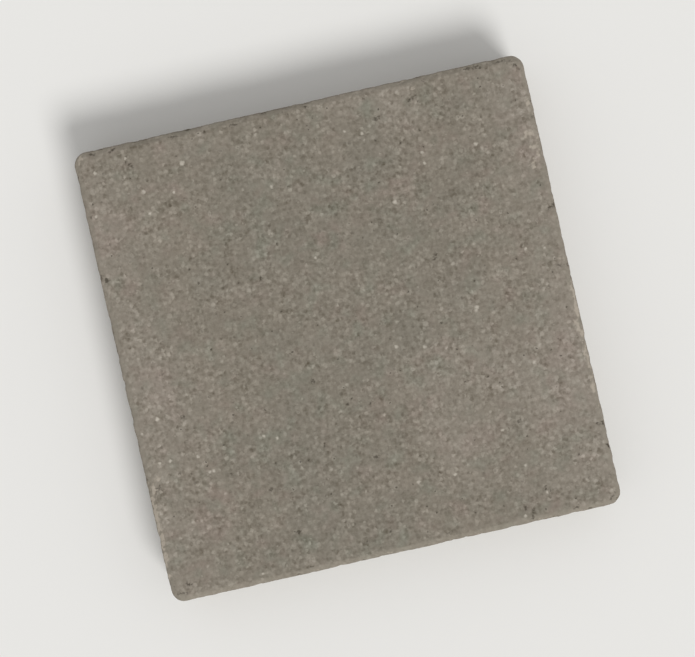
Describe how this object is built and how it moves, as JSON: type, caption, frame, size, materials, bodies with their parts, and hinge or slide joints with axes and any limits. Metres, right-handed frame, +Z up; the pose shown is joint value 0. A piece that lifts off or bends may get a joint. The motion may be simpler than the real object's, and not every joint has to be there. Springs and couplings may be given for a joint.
{
  "type": "concrete paving stone",
  "caption": "Square pressed concrete paving stone with rounded corners and a shallow bevelled arris, laid flat in a joint grid as paving.",
  "frame": {"origin": "middle of the bedding face, the flat underside that the stone lies on", "axes": "+Z up towards the walking face, +X and +Y square to the joint faces, along the two directions of the laying grid"},
  "size_m": [0.298, 0.298, 0.045],
  "materials": {
    "grey_concrete": "matte"
  },
  "bodies": {
    "root": {"paving_stone": "grey_concrete"}
  },
  "joints": []
}
